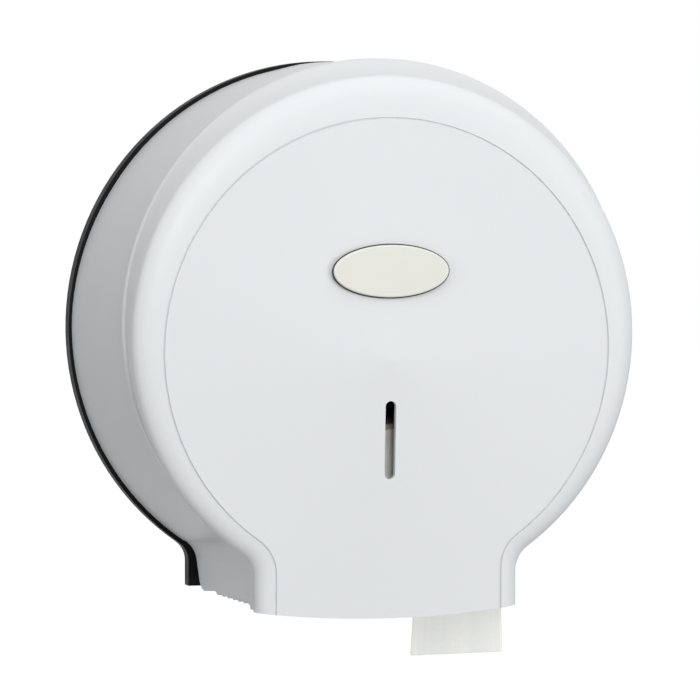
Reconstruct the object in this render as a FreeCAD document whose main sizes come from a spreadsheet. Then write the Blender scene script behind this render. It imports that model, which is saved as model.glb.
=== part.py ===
import FreeCAD, Part
import math
import os

import Sketcher

# Wall-mounted jumbo toilet roll dispenser. X runs to the right as seen from the front, +Y runs into the
# wall and Z is up. The origin is the centre of the round back plate, on the wall. A depth is a distance
# in front of the wall, so a point at depth d has Y = -d. A drop is a distance below the origin.

document = FreeCAD.newDocument("jumbo_roll_dispenser")

# Driving dimensions, in millimetres and degrees, by the piece that carries them.
SIZES = [
    # back plate
    ("plate_radius", 137.8),
    ("plate_neck", 74.3),
    ("plate_fillet", 12.0),
    ("plate_bottom", 135.4),
    ("plate_edge", 8.0),
    ("plate_skin", 3.0),
    ("rib_thick", 2.0),
    ("rib_ring_radius", 46.0),
    ("rib_count", 8),
    ("upstand_set_in", 4.0),
    ("upstand_wall", 2.4),
    ("upstand_height", 10.0),
    ("upstand_gap_half", 90.0),
    ("wall_hole_half", 70.0),
    ("wall_hole_radius", 2.75),
    ("wall_boss_radius", 8.0),
    ("wall_head_radius", 5.5),
    ("wall_head_sink", 1.5),
    # hinge
    ("hinge_depth", 22.0),
    ("hinge_above_foot", 9.4),
    ("hinge_pin_radius", 2.5),
    ("hinge_head_radius", 4.0),
    ("hinge_head_thick", 1.2),
    ("hinge_lug_thick", 6.0),
    ("hinge_lug_radius", 6.5),
    ("hinge_skin", 1.0),
    ("hinge_side_gap", 0.5),
    # spindle
    ("spindle_flange_radius", 42.0),
    ("spindle_flange_thick", 3.0),
    ("spindle_radius", 12.0),
    ("spindle_bore_length", 24.0),
    ("spindle_screw_circle", 34.0),
    ("screw_shank", 2.0),
    ("screw_head", 4.0),
    ("screw_head_height", 2.4),
    ("screw_grip", 6.0),
    ("screw_boss", 4.5),
    # hub
    ("hub_radius", 30.0),
    ("hub_wall", 2.5),
    ("hub_flange_radius", 46.0),
    ("hub_flange_thick", 3.0),
    ("hub_rear", 14.3),
    ("hub_behind_roll", 2.6),
    ("hub_bearing_wall", 2.5),
    ("hub_fin_thick", 1.6),
    ("hub_fin_count", 8),
    ("washer_radius", 16.0),
    ("washer_thick", 1.5),
    ("hub_screw_head", 5.0),
    # roll
    ("roll_width", 92.0),
    ("roll_radius", 72.0),
    ("core_bore_radius", 38.0),
    ("core_wall", 2.5),
    # tail of paper
    ("tail_thick", 0.6),
    ("tail_wall_gap", 0.5),
    ("tail_front_drop", 162.0),
    ("tail_end_twist", 18.3),
    ("tail_rear_drop", 174.0),
    ("tail_twist", 12.3),
    # cover
    ("cover_rise", 1.0),
    ("cover_wall", 2.5),
    ("band_set_in", 1.5),
    ("band_neck_set_in", 3.3),
    ("band_rear_fillet", 13.0),
    ("band_taper", 5.0),
    ("band_neck_taper", 6.6),
    ("band_front_rise", 6.6),
    ("band_front_fillet", 16.0),
    ("band_below_plate", 1.1),
    ("band_heel_depth", 24.0),
    ("band_heel_radius", 9.0),
    ("tooth_count", 7),
    ("tooth_pitch", 8.2),
    ("tooth_height", 1.7),
    ("lip_behind_roll", 11.1),
    ("lip_width", 8.0),
    ("lip_proud", 0.5),
    ("front_wall", 2.0),
    ("bulge_lead", 19.5),
    ("bulge_in", 0.1),
    ("bulge_neck_out", 4.2),
    ("bulge_drop", 0.5),
    ("bulge_fillet", 15.0),
    ("panel_lead", 25.5),
    ("panel_set_in", 15.3),
    ("panel_neck_set_in", 5.6),
    ("panel_fillet", 20.0),
    ("panel_drop", 7.0),
    ("line_half", 0.5),
    ("line_sink", 0.9),
    ("dome_rise", 4.9),
    ("dome_overhang", 12.0),
    ("dome_drop", 12.0),
    ("vault_set_in", 28.0),
    ("cover_below_band", 0.5),
    ("bow_half", 72.0),
    ("bow_sag", 5.0),
    ("slot_half", 2.75),
    ("slot_top_drop", 32.4),
    ("slot_bottom_drop", 71.8),
    ("lug_width", 10.0),
    ("lug_thick", 3.0),
    ("lug_set_in", 23.3),
    ("boss_radius", 4.5),
    ("boss_skin", 0.9),
    ("cover_screw_shank", 1.5),
    ("cover_screw_head", 2.75),
    ("cover_screw_grip", 9.0),
    # badge
    ("badge_half_width", 30.0),
    ("badge_half_height", 13.1),
    ("badge_rise", 32.7),
    ("badge_thick", 1.3),
    ("badge_round", 0.7),
    ("badge_pad_thick", 0.5),
    ("badge_rim", 0.6),
    ("badge_sink", 1.8),
    # lock
    ("lock_depth", 34.0),
    ("lock_sink", 0.9),
    ("lock_flange_radius", 11.5),
    ("lock_flange_thick", 1.3),
    ("lock_barrel_radius", 9.0),
    ("lock_barrel_length", 11.6),
    ("lock_boss_radius", 14.0),
    ("lock_boss_length", 5.1),
    ("lock_plug_radius", 6.0),
    ("lock_nut_thick", 3.0),
    ("lock_nut_radius", 12.5),
    ("key_slot_half", 0.7),
    ("cam_drop", 17.1),
    ("cam_thick", 3.0),
    ("cam_hub_radius", 7.0),
    ("cam_finger_inner", 14.6),
    ("cam_finger_outer", 18.0),
    ("cam_finger_angle", 60.0),
    ("cam_arm_angle", 16.0),
    ("cam_screw_head", 4.0),
    ("cam_screw_thick", 1.8),
    # keeper
    ("keeper_half_width", 19.0),
    ("keeper_flange_height", 15.0),
    ("keeper_flange_thick", 2.0),
    ("keeper_shelf_half", 9.0),
    ("keeper_shelf_gap", 4.5),
    ("keeper_shelf_thick", 2.5),
    ("keeper_shelf_reach", 27.0),
    ("keeper_post_gap", 1.1),
    ("keeper_post_radius", 2.5),
    ("keeper_post_height", 9.0),
    ("keeper_screw_half", 13.0),
    ("keeper_screw_inset", 6.0),
    # clearances
    ("running_fit", 0.05),
    ("seat_gap", 0.3),
    ("cover_gap", 0.5),
    ("overrun", 12.0),
]


def fill_sheet():
    sheet = document.addObject("Spreadsheet::Sheet", "sizes")
    for row, (alias, number) in enumerate(SIZES, start=1):
        sheet.set(f"A{row}", alias)
        sheet.set(f"B{row}", str(number))
        sheet.setAlias(f"B{row}", alias)
    document.recompute()
    return sheet


class Size:
    """A length with its number and the sheet expression that gives it."""

    def __init__(self, number, text):
        self.number = number
        self.text = text

    def __add__(self, other):
        other = as_size(other)
        return Size(self.number + other.number, f"({self.text} + {other.text})")

    def __sub__(self, other):
        other = as_size(other)
        return Size(self.number - other.number, f"({self.text} - {other.text})")

    def __mul__(self, other):
        other = as_size(other)
        return Size(self.number * other.number, f"({self.text} * {other.text})")

    def __truediv__(self, other):
        other = as_size(other)
        return Size(self.number / other.number, f"({self.text} / {other.text})")

    def __neg__(self):
        return Size(-self.number, f"(0 - {self.text})")

    def root(self):
        return Size(math.sqrt(self.number), f"sqrt({self.text})")


def as_size(value):
    if isinstance(value, Size):
        return value
    return Size(float(value), repr(float(value)))


class Sheet:
    """Gives each alias of the sheet as a Size."""

    def __init__(self, sheet):
        self.sheet = sheet

    def __getattr__(self, alias):
        return Size(float(self.sheet.get(alias)), f"sizes.{alias}")


size = Sheet(fill_sheet())
ZERO = as_size(0)
SIDES = (-1, 1)
finished = []

# Sizes that follow from the driving ones
size.hinge_drop = size.plate_bottom - size.hinge_above_foot
size.band_rear_radius = size.plate_radius - size.band_set_in
size.band_rear_neck = size.plate_neck - size.band_neck_set_in
size.band_front_radius = size.band_rear_radius - size.band_taper
size.band_front_neck = size.band_rear_neck - size.band_neck_taper
size.band_bottom = size.plate_bottom + size.band_below_plate
size.cover_bottom = size.band_bottom + size.cover_below_band
size.upstand_radius = size.band_rear_radius - size.cover_wall - size.upstand_set_in
size.roll_rear = size.hub_rear + size.hub_flange_thick + size.seat_gap
size.roll_front = size.roll_rear + size.roll_width
size.hub_front = size.roll_front - size.hub_behind_roll
size.spindle_end = size.hub_front + size.seat_gap
size.lip_depth = size.roll_front - size.lip_behind_roll
size.panel_depth = size.lip_depth + size.panel_lead
size.panel_radius = size.band_front_radius - size.panel_set_in
size.panel_neck = size.band_front_neck - size.panel_neck_set_in
size.dome_reach = size.panel_radius + size.dome_overhang
size.vault_reach = size.panel_radius - size.vault_set_in
size.lug_circle = size.band_front_radius - size.lug_set_in
size.badge_floor = size.panel_depth + size.dome_rise - size.badge_sink
size.lock_face = size.cover_rise + size.band_rear_radius - size.lock_sink
size.lock_boss_foot = size.lock_face - size.lock_boss_length
size.lock_barrel_foot = size.lock_face - size.lock_barrel_length
size.cam_foot = size.lock_face - size.cam_drop
size.keeper_shelf_top = size.cam_foot - size.keeper_shelf_gap
size.keeper_post_top = size.keeper_shelf_top + size.keeper_post_height
size.keeper_flange_bottom = size.keeper_shelf_top - size.keeper_flange_height
size.keeper_screw_height = size.keeper_flange_bottom + size.keeper_screw_inset
size.neck_inside = size.band_front_neck - size.front_wall
size.tail_front_x = size.neck_inside - size.tail_wall_gap - size.tail_thick
size.tail_neck_rear_x = size.tail_front_x - size.tail_twist
size.tail_rear_x = size.tail_front_x - size.tail_end_twist


# Sketches, features and primitives
def plane_of(body, role):
    return next(plane for plane in body.Origin.OriginFeatures if plane.Role == role)


def bind(thing, prop, value):
    thing.setExpression(prop, as_size(value).text)


def new_body(name):
    return document.addObject("PartDesign::Body", name)


def new_sketch(body, name, role, offset):
    sketch = body.newObject("Sketcher::SketchObject", name)
    sketch.AttachmentSupport = [(plane_of(body, role), "")]
    sketch.MapMode = "FlatFace"
    bind(sketch, "AttachmentOffset.Base.z", offset)
    return sketch


def dimension(sketch, kind, curve, point, value):
    """Sets the distance of a point from the origin along X or Y, whatever its sign."""
    value = as_size(value)
    if value.number < 0:
        index = sketch.addConstraint(Sketcher.Constraint(kind, curve, point, -1, 1, -value.number))
        sketch.setExpression(f"Constraints[{index}]", (-value).text)
    else:
        index = sketch.addConstraint(Sketcher.Constraint(kind, -1, 1, curve, point, value.number))
        sketch.setExpression(f"Constraints[{index}]", value.text)


def arc_curve(start, end, radius, turn, wide):
    """An arc from start to end: turn 1 runs anticlockwise, -1 clockwise; wide is over a half circle."""
    chord = end - start
    left = FreeCAD.Vector(-chord.y, chord.x, 0).normalize()
    rise = math.sqrt(max(radius ** 2 - (chord.Length / 2) ** 2, 0))
    side = -turn if wide else turn
    centre = (start + end) / 2 + left * rise * side
    first, last = (start, end) if turn > 0 else (end, start)
    angles = [math.atan2(point.y - centre.y, point.x - centre.x) for point in (first, last)]
    circle = Part.Circle(centre, FreeCAD.Vector(0, 0, 1), radius)
    return Part.ArcOfCircle(circle, angles[0], angles[1])


def outline(body, name, role, offset, corners, arcs=None):
    """A closed outline through corners. arcs gives a radius, a turn and wide for the sides that bend.

    A radius of None is a half circle.
    """
    arcs = arcs or {}
    sketch = new_sketch(body, name, role, offset)
    corners = [(as_size(x), as_size(y)) for x, y in corners]
    points = [FreeCAD.Vector(x.number, y.number, 0) for x, y in corners]
    count = len(points)
    ends = []
    for index, point in enumerate(points):
        following = points[(index + 1) % count]
        if index in arcs:
            radius, turn, wide = arcs[index]
            reach = (following - point).Length / 2 if radius is None else as_size(radius).number
            sketch.addGeometry(arc_curve(point, following, reach, turn, wide))
            ends.append((1, 2) if turn > 0 else (2, 1))
        else:
            sketch.addGeometry(Part.LineSegment(point, following))
            ends.append((1, 2))
    for index in range(count):
        following = (index + 1) % count
        join = Sketcher.Constraint("Coincident", index, ends[index][1], following, ends[following][0])
        sketch.addConstraint(join)
    for index, (x, y) in enumerate(corners):
        dimension(sketch, "DistanceX", index, ends[index][0], x)
        dimension(sketch, "DistanceY", index, ends[index][0], y)
    for index, (radius, turn, wide) in arcs.items():
        chord = points[(index + 1) % count] - points[index]
        if radius is not None:
            radius_dimension(sketch, index, radius)
        elif abs(chord.x) < abs(chord.y):
            dimension(sketch, "DistanceX", index, 3, corners[index][0])
        else:
            dimension(sketch, "DistanceY", index, 3, corners[index][1])
    return sketch


def radius_dimension(sketch, curve, value):
    value = as_size(value)
    index = sketch.addConstraint(Sketcher.Constraint("Radius", curve, value.number))
    sketch.setExpression(f"Constraints[{index}]", value.text)


def circles(body, name, role, offset, rounds):
    """A sketch of full circles, each given by its centre and its radius."""
    sketch = new_sketch(body, name, role, offset)
    for x, y, radius in rounds:
        x, y, radius = as_size(x), as_size(y), as_size(radius)
        centre = FreeCAD.Vector(x.number, y.number, 0)
        index = sketch.addGeometry(Part.Circle(centre, FreeCAD.Vector(0, 0, 1), radius.number))
        dimension(sketch, "DistanceX", index, 3, x)
        dimension(sketch, "DistanceY", index, 3, y)
        radius_dimension(sketch, index, radius)
    return sketch


def pad(body, sketch, length, name):
    feature = body.newObject("PartDesign::Pad", name)
    feature.Profile = sketch
    bind(feature, "Length", length)
    document.recompute()
    return feature


def pocket(body, sketch, length, name, forward=True, both=False):
    """Cuts the sketch out of the body, to the side its plane faces, or to both sides."""
    before = body.Shape.Volume
    feature = body.newObject("PartDesign::Pocket", name)
    feature.Profile = sketch
    feature.Reversed = forward
    feature.Midplane = both
    bind(feature, "Length", length)
    document.recompute()
    if not body.Shape.Volume < before:
        raise RuntimeError(f"{name} cuts nothing")
    return feature


def revolve(body, sketch, kind, name):
    """Turns the sketch a full turn about the vertical axis of its own plane."""
    feature = body.newObject(f"PartDesign::{kind}", name)
    feature.Profile = sketch
    feature.ReferenceAxis = (sketch, ["V_Axis"])
    feature.Angle = 360
    document.recompute()
    return feature


def loft(body, kind, sections, name, ruled=False):
    feature = body.newObject(f"PartDesign::{kind}", name)
    feature.Profile = sections[0]
    feature.Sections = sections[1:]
    feature.Ruled = ruled
    document.recompute()
    return feature


def place(thing, x, y, z, rotation=None):
    """Puts a primitive at a point given in sheet sizes."""
    thing.Placement = FreeCAD.Placement(FreeCAD.Vector(), rotation or FreeCAD.Rotation())
    for axis, value in zip("xyz", (x, y, z)):
        bind(thing, f"Placement.Base.{axis}", value)
    return thing


TO_FRONT = FreeCAD.Rotation(FreeCAD.Vector(1, 0, 0), 90)
TO_RIGHT = FreeCAD.Rotation(FreeCAD.Vector(0, 1, 0), 90)
UPWARD = FreeCAD.Rotation()


def cylinder(name, radius, length, x, y, z, rotation):
    thing = document.addObject("Part::Cylinder", name)
    bind(thing, "Radius", radius)
    bind(thing, "Height", length)
    return place(thing, x, y, z, rotation)


def box(name, width, depth, height, x, y, z):
    thing = document.addObject("Part::Box", name)
    bind(thing, "Length", width)
    bind(thing, "Width", depth)
    bind(thing, "Height", height)
    return place(thing, x, y, z)


def fuse(name, things):
    joined = document.addObject("Part::MultiFuse", name)
    joined.Shapes = things
    return joined


def cut(name, base, tool):
    result = document.addObject("Part::Cut", name)
    result.Base = base
    result.Tool = tool
    return result


def finish(thing):
    thing.Label = thing.Name
    finished.append(thing)
    return thing


# Keyhole outlines: a round body with a straight neck that hangs below it
def keyhole(body, name, depth, radius, rise, neck, fillet, bottom):
    reach = ((radius + fillet) * (radius + fillet) - (neck + fillet) * (neck + fillet)).root()
    share = radius / (radius + fillet)
    touch_x = (neck + fillet) * share
    touch_z = rise - reach * share
    neck_top = rise - reach
    corners = [
        (touch_x, touch_z),
        (-touch_x, touch_z),
        (-neck, neck_top),
        (-neck, -bottom),
        (neck, -bottom),
        (neck, neck_top),
    ]
    arcs = {0: (radius, 1, True), 1: (fillet, -1, False), 5: (fillet, -1, False)}
    return outline(body, name, "XZ_Plane", depth, corners, arcs)


def screw(name, shank, head, head_height, grip, x, z, face):
    """A pan-head screw that points into the wall, with the underside of its head at a depth of face."""
    stem = cylinder(f"{name}_stem", shank, grip, x, -(face - grip), z, TO_FRONT)
    cap = cylinder(f"{name}_cap", head, head_height, x, -face, z, TO_FRONT)
    return fuse(name, [stem, cap])


def back_plate():
    body = new_body("back_plate")
    edge = size.plate_edge
    face = keyhole(
        body,
        "plate_outline",
        ZERO,
        size.plate_radius,
        ZERO,
        size.plate_neck,
        size.plate_fillet,
        size.plate_bottom,
    )
    pad(body, face, edge, "plate_pad")
    rim = size.plate_skin
    hollow = keyhole(
        body,
        "plate_hollow",
        ZERO,
        size.plate_radius - rim,
        ZERO,
        size.plate_neck - rim,
        size.plate_fillet + rim,
        size.plate_bottom - rim,
    )
    behind = edge - size.plate_skin
    pocket(body, hollow, behind, "plate_pocket")
    ring = circles(
        body,
        "rib_ring",
        "XZ_Plane",
        ZERO,
        [(ZERO, ZERO, size.rib_ring_radius), (ZERO, ZERO, size.rib_ring_radius - size.rib_thick)],
    )
    pad(body, ring, behind, "rib_ring_pad")
    plate_spokes(body, behind)
    bosses = circles(body, "bosses", "XZ_Plane", ZERO, plate_bosses())
    pad(body, bosses, behind, "boss_pad")
    holes = circles(body, "wall_holes", "XZ_Plane", ZERO, wall_holes(size.wall_hole_radius))
    pocket(body, holes, edge + size.overrun, "wall_hole_pocket")
    sinks = circles(body, "wall_sinks", "XZ_Plane", edge, wall_holes(size.wall_head_radius))
    pocket(body, sinks, size.wall_head_sink, "wall_sink_pocket", forward=False)
    bores = circles(body, "screw_bores", "XZ_Plane", edge, screw_places(size.screw_shank))
    pocket(body, bores, size.screw_grip, "screw_bore_pocket", forward=False)
    upstand(body, edge)
    hinge_lugs(body, edge)
    return finish(body)


def plate_spokes(body, behind):
    half = size.rib_thick / 2
    start = size.rib_ring_radius - half
    end = size.plate_radius - size.plate_skin
    spoke = outline(
        body, "spoke", "XZ_Plane", ZERO, [(start, -half), (end, -half), (end, half), (start, half)]
    )
    first = pad(body, spoke, behind, "spoke_pad")
    pattern = body.newObject("PartDesign::PolarPattern", "spoke_pattern")
    pattern.Originals = [first]
    pattern.Axis = (plane_axis(body, "Y_Axis"), [""])
    pattern.Angle = 360
    bind(pattern, "Occurrences", size.rib_count)
    body.Tip = pattern
    document.recompute()


def plane_axis(body, role):
    return next(axis for axis in body.Origin.OriginFeatures if axis.Role == role)


def wall_holes(radius):
    half = size.wall_hole_half
    return [(half * x, half * z, radius) for x in SIDES for z in SIDES]


def spindle_screw_places(radius):
    reach = size.spindle_screw_circle
    return [(reach, ZERO, radius), (ZERO, reach, radius), (-reach, ZERO, radius), (ZERO, -reach, radius)]


def keeper_screw_places(radius):
    return [(size.keeper_screw_half * x, size.keeper_screw_height, radius) for x in SIDES]


def screw_places(radius):
    return spindle_screw_places(radius) + keeper_screw_places(radius)


def plate_bosses():
    middle = [(ZERO, ZERO, size.spindle_radius)]
    return wall_holes(size.wall_boss_radius) + screw_places(size.screw_boss) + middle


def upstand(body, edge):
    """The raised collar that the closed cover fits over, open towards the neck."""
    outer = size.upstand_radius
    inner = outer - size.upstand_wall
    half = size.upstand_gap_half
    low = size.cover_rise - (outer * outer - half * half).root()
    high = size.cover_rise - (inner * inner - half * half).root()
    collar = outline(
        body,
        "collar",
        "XZ_Plane",
        edge,
        [(half, low), (-half, low), (-half, high), (half, high)],
        {0: (outer, 1, True), 2: (inner, -1, True)},
    )
    pad(body, collar, size.upstand_height, "collar_pad")


def hinge_inner():
    """Half the distance between the inner faces of the hinge lugs."""
    return hinge_outer() - size.hinge_lug_thick


def band_neck_at(depth):
    """Half width of the outside of the neck at a depth."""
    share = (depth - band_rear()) / (band_front() - band_rear())
    return size.band_rear_neck + (size.band_front_neck - size.band_rear_neck) * share


def band_rear():
    return size.plate_edge + size.cover_gap


def band_front():
    return size.lip_depth


def ear_face():
    """Where the inner face of each hinge ear of the cover lies."""
    return band_neck_at(size.hinge_depth + size.hinge_lug_radius) - size.cover_wall - size.hinge_side_gap


def hinge_outer():
    return ear_face() - size.hinge_side_gap


def hinge_lugs(body, edge):
    depth = size.hinge_depth
    drop = size.hinge_drop
    radius = size.hinge_lug_radius
    for side, name in zip(SIDES, ("left", "right")):
        offset = hinge_inner() if side > 0 else -hinge_outer()
        foot = -(drop + radius)
        top = -(drop - radius)
        corners = [(-edge, foot), (-edge, top), (-depth, top), (-depth, foot)]
        lug = outline(body, f"lug_{name}", "YZ_Plane", offset, corners, {2: (None, 1, False)})
        pad(body, lug, size.hinge_lug_thick, f"lug_pad_{name}")
        bore = circles(body, f"lug_bore_{name}", "YZ_Plane", offset, [(-depth, -drop, lug_bore_radius())])
        pocket(body, bore, size.hinge_lug_thick, f"lug_bore_pocket_{name}")


def lug_bore_radius():
    return size.hinge_pin_radius + size.running_fit / 2


def hinge_pins():
    """Two headed pins, pushed outwards through the lugs into blind bores in the cover."""
    for side, name in zip(SIDES, ("hinge_pin_left", "hinge_pin_right")):
        tip = band_neck_at(size.hinge_depth) - size.hinge_skin - size.seat_gap
        length = tip - hinge_inner()
        start = hinge_inner() if side > 0 else -tip
        head_start = hinge_inner() - size.hinge_head_thick if side > 0 else -hinge_inner()
        y = -size.hinge_depth
        z = -size.hinge_drop
        stem = cylinder(f"{name}_stem", size.hinge_pin_radius, length, start, y, z, TO_RIGHT)
        thick = size.hinge_head_thick
        head = cylinder(f"{name}_head", size.hinge_head_radius, thick, head_start, y, z, TO_RIGHT)
        finish(fuse(name, [stem, head]))


def spindle_post():
    body = new_body("spindle_post")
    face = size.plate_edge
    flange = circles(body, "post_flange", "XZ_Plane", face, [(ZERO, ZERO, size.spindle_flange_radius)])
    pad(body, flange, size.spindle_flange_thick, "post_flange_pad")
    post = circles(body, "post_round", "XZ_Plane", face, [(ZERO, ZERO, size.spindle_radius)])
    pad(body, post, size.spindle_end - face, "post_pad")
    clear = size.screw_shank + size.running_fit
    holes = circles(body, "post_holes", "XZ_Plane", face, spindle_screw_places(clear))
    pocket(body, holes, size.spindle_flange_thick, "post_hole_pocket")
    bore = circles(body, "post_bore", "XZ_Plane", size.spindle_end, [(ZERO, ZERO, size.screw_shank)])
    pocket(body, bore, size.spindle_bore_length, "post_bore_pocket", forward=False)
    return finish(body)


def spindle_screws():
    face = size.plate_edge + size.spindle_flange_thick
    grip = size.spindle_flange_thick + size.screw_grip
    screws = []
    for index, (x, z, radius) in enumerate(spindle_screw_places(size.screw_shank)):
        stem = radius - size.running_fit / 2
        screws.append(
            screw(f"spindle_screw_{index}", stem, size.screw_head, size.screw_head_height, grip, x, z, face)
        )
    finish(fuse("spindle_screws", screws))


def hub_sleeve():
    """The free-turning sleeve that the roll hangs on, with a flange behind the roll."""
    body = new_body("hub_sleeve")
    bore = size.spindle_radius + size.running_fit
    bearing = bore + size.hub_bearing_wall
    outer = size.hub_radius
    inner = outer - size.hub_wall
    rear = size.hub_rear
    start = size.plate_edge + size.spindle_flange_thick + size.seat_gap
    front = size.hub_front
    web = front - size.hub_wall
    flange = rear + size.hub_flange_thick
    corners = [
        (bore, start),
        (bearing, start),
        (bearing, web),
        (inner, web),
        (inner, rear),
        (size.hub_flange_radius, rear),
        (size.hub_flange_radius, flange),
        (outer, flange),
        (outer, front),
        (bore, front),
    ]
    profile = outline(body, "hub_profile", "XY_Plane", ZERO, [(x, -depth) for x, depth in corners])
    revolve(body, profile, "Revolution", "hub_turned")
    half = size.hub_fin_thick / 2
    overlap = size.hub_wall / 2
    fin = outline(
        body,
        "hub_fin",
        "XZ_Plane",
        flange,
        [
            (bearing - overlap, -half),
            (inner + overlap, -half),
            (inner + overlap, half),
            (bearing - overlap, half),
        ],
    )
    first = pad(body, fin, web - flange, "hub_fin_pad")
    pattern = body.newObject("PartDesign::PolarPattern", "hub_fin_pattern")
    pattern.Originals = [first]
    pattern.Axis = (plane_axis(body, "Y_Axis"), [""])
    pattern.Angle = 360
    bind(pattern, "Occurrences", size.hub_fin_count)
    body.Tip = pattern
    document.recompute()
    return finish(body)


def hub_retainer():
    """The washer and screw on the end of the post that keep the sleeve on it."""
    face = size.spindle_end
    disc = cylinder("washer_disc", size.washer_radius, size.washer_thick, ZERO, -face, ZERO, TO_FRONT)
    bore = size.screw_shank + size.running_fit
    hole = cylinder("washer_hole", bore, size.washer_thick, ZERO, -face, ZERO, TO_FRONT)
    finish(cut("hub_washer", disc, hole))
    stem = size.screw_shank - size.running_fit / 2
    grip = size.spindle_bore_length / 2 + size.washer_thick
    top = face + size.washer_thick
    finish(screw("hub_screw", stem, size.hub_screw_head, size.screw_head_height, grip, ZERO, ZERO, top))


def roll_drop():
    """How far the middle of the roll hangs below the middle of the hub."""
    return size.core_bore_radius - size.hub_radius - size.seat_gap


def tube(name, outer, inner, length, y, z):
    solid = cylinder(f"{name}_solid", outer, length, ZERO, y, z, TO_FRONT)
    bore = cylinder(f"{name}_bore", inner, length, ZERO, y, z, TO_FRONT)
    return finish(cut(name, solid, bore))


def roll():
    core = size.core_bore_radius + size.core_wall
    y = -size.roll_rear
    z = -roll_drop()
    tube("roll_core", core, size.core_bore_radius, size.roll_width, y, z)
    tube("paper_roll", size.roll_radius, core + size.running_fit, size.roll_width, y, z)


def tail_section(front_x, rear_x, front_z, rear_z):
    """One level of the hanging sheet: a thin strip from its front edge to its rear edge."""
    thick = size.tail_thick.number
    front_y = -size.roll_front.number
    rear_y = -size.roll_rear.number
    points = [
        FreeCAD.Vector(front_x, front_y, front_z),
        FreeCAD.Vector(rear_x, rear_y, rear_z),
        FreeCAD.Vector(rear_x + thick, rear_y, rear_z),
        FreeCAD.Vector(front_x + thick, front_y, front_z),
    ]
    return Part.makePolygon(points + points[:1])


# Levels of the sheet between the roll and the neck, as shares of that height, with the share of the way
# sideways that its front edge and its rear edge have gone by then.
TAIL_LEVEL_SHARES = [(0.15, 0.06, 0.05), (0.45, 0.4, 0.36), (0.75, 0.8, 0.74)]


def paper_tail():
    """The loose end of the paper: it leaves the roll on the right and hangs out of the neck, twisted."""
    start_x = (size.roll_radius + size.seat_gap).number
    start_z = -roll_drop().number
    neck_z = -size.hinge_drop.number
    front_x = size.tail_front_x.number
    rear_x = size.tail_neck_rear_x.number
    sections = [tail_section(start_x, start_x, start_z, start_z)]
    for level_share, front_share, rear_share in TAIL_LEVEL_SHARES:
        z = start_z + (neck_z - start_z) * level_share
        front = start_x + (front_x - start_x) * front_share
        rear = start_x + (rear_x - start_x) * rear_share
        sections.append(tail_section(front, rear, z, z))
    sections.append(tail_section(front_x, rear_x, neck_z, neck_z))
    end_z = (-size.tail_front_drop.number, -size.tail_rear_drop.number)
    sections.append(tail_section(front_x, size.tail_rear_x.number, end_z[0], end_z[1]))
    tail = document.addObject("Part::Feature", "paper_tail")
    tail.Shape = Part.makeLoft(sections, True, False)
    finish(tail)


def inset(ring, step):
    """A keyhole outline, given as its radius, rise, neck and fillet, moved inwards by a step."""
    radius, rise, neck, fillet = ring
    return (radius - step, rise, neck - step, fillet + step)


def front_outline():
    """The outline of the front edge of the side band."""
    return (size.band_front_radius, size.band_front_rise, size.band_front_neck, size.band_front_fillet)


def side_band():
    """The tapered wall of the cover, from the back plate to the front moulding."""
    body = new_body("side_band")
    rear = band_rear()
    front = band_front()
    below = size.band_bottom + size.overrun
    wall = size.cover_wall
    outer = []
    inner = []
    rear_outline = (size.band_rear_radius, size.cover_rise, size.band_rear_neck, size.band_rear_fillet)
    for name, depth, ring in (("rear", rear, rear_outline), ("front", front, front_outline())):
        outer.append(keyhole(body, f"band_{name}", depth, *ring, below))
        inner.append(keyhole(body, f"band_hollow_{name}", depth, *inset(ring, wall), below + size.overrun))
    loft(body, "AdditiveLoft", outer, "band_loft", ruled=True)
    loft(body, "SubtractiveLoft", inner, "band_hollow", ruled=True)
    lock_seat(body)
    cover_lugs(body, front)
    hinge_ears(body)
    band_foot(body, rear)
    return finish(body)


def band_foot(body, rear):
    """Trims the foot of the neck: a rounded heel that clears the wall, then a row of small teeth."""
    bottom = -size.band_bottom
    heel = size.band_heel_depth
    root = bottom + size.tooth_height
    slant_top = -(size.hinge_drop - size.band_heel_radius * 3)
    slant_mid = -(size.hinge_drop - size.band_heel_radius / 2)
    heel_side = size.hinge_depth - size.band_heel_radius * 2 / 3
    heel_low = -(size.hinge_drop + size.band_heel_radius * 2 / 3)
    corners = [
        (ZERO, slant_top),
        (-rear, slant_top),
        (-(rear + size.plate_skin), slant_mid),
        (-heel_side, heel_low),
        (-heel, bottom),
    ]
    start = band_front() - size.tooth_pitch * size.tooth_count
    for index in range(int(size.tooth_count.number)):
        corners.append((-(start + size.tooth_pitch * index), root))
        corners.append((-(start + size.tooth_pitch * (index + 0.5)), bottom))
    corners.append((-band_front(), root))
    corners.append((-(band_front() + size.overrun), root))
    corners.append((-(band_front() + size.overrun), bottom - size.overrun * 3))
    corners.append((ZERO, bottom - size.overrun * 3))
    profile = outline(body, "foot", "YZ_Plane", ZERO, corners, {3: (size.band_heel_radius, -1, False)})
    pocket(body, profile, size.band_rear_neck * 2 + size.overrun, "foot_pocket", both=True)


def hinge_ears(body):
    """A thickened round on the inside of each neck wall, bored for the hinge pin."""
    depth = size.hinge_depth
    drop = size.hinge_drop
    face = ear_face()
    grow = band_neck_at(depth) - size.cover_wall / 2 - face
    reach = band_neck_at(depth) - size.hinge_skin - face
    for side, name in zip(SIDES, ("left", "right")):
        start = face if side > 0 else -(face + grow)
        ear = circles(body, f"ear_{name}", "YZ_Plane", start, [(-depth, -drop, size.hinge_lug_radius)])
        pad(body, ear, grow, f"ear_pad_{name}")
        first = face if side > 0 else -(face + reach)
        pin = size.hinge_pin_radius + size.running_fit
        bore = circles(body, f"ear_bore_{name}", "YZ_Plane", first, [(-depth, -drop, pin)])
        pocket(body, bore, reach, f"ear_bore_pocket_{name}")


LUG_ANGLES = (0, 45, 90, 135, 180, 225, 315)


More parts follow.
